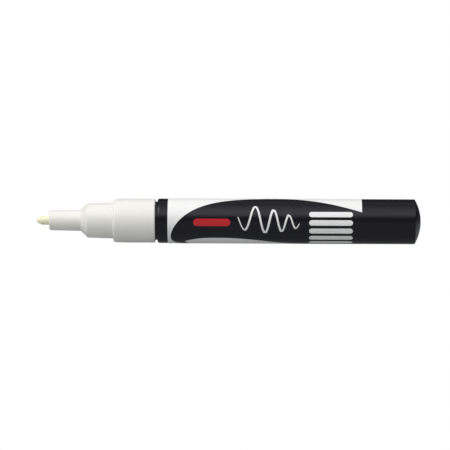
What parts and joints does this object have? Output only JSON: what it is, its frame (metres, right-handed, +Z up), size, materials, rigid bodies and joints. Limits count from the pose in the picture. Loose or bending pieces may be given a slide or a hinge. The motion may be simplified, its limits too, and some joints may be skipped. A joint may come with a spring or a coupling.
{
  "type": "liquid chalk marker",
  "caption": "Uncapped round liquid chalk marker with a bullet nib that presses back to open a sprung ink valve.",
  "frame": {"origin": "on the surface that the marker lies on, under the middle of its length and its axis", "axes": "+X along the marker from the writing tip to the tail, +Z up from the surface that it lies on"},
  "size_m": [0.128, 0.015, 0.015],
  "materials": {
    "black_plastic": "satin",
    "white_plastic": "satin",
    "label_film": "semi-gloss",
    "nib_felt": "pressed fibre",
    "valve_plastic": "natural",
    "seal_rubber": "matte",
    "spring_steel": "drawn wire",
    "ball_steel": "polished"
  },
  "bodies": {
    "marker_body": {"barrel": "black_plastic", "barrel_label": "label_film", "tail_plug": "black_plastic", "front_holder": "white_plastic", "valve_case": "valve_plastic", "spring_retainer": "valve_plastic", "valve_spring": "spring_steel"},
    "valve": {"valve_stem": "valve_plastic", "valve_seal": "seal_rubber"},
    "nib": {"nib": "nib_felt"},
    "mixing_ball": {"mixing_ball": "ball_steel"}
  },
  "joints": [
    {"name": "nib_press", "type": "slide", "parent": "marker_body", "child": "valve", "axis": [1, 0, 0], "range_m": [0, 0.002], "stiffness_N_per_m": 1300, "springref_m": -0.0015, "deforming": ["valve_spring"]},
    {"name": "nib_pull", "type": "slide", "parent": "valve", "child": "nib", "axis": [-1, 0, 0], "range_m": [0, 0.024]},
    {"name": "ball_roll", "type": "slide", "parent": "marker_body", "child": "mixing_ball", "axis": [1, 0, 0], "range_m": [-0.0347, 0.0347]}
  ]
}
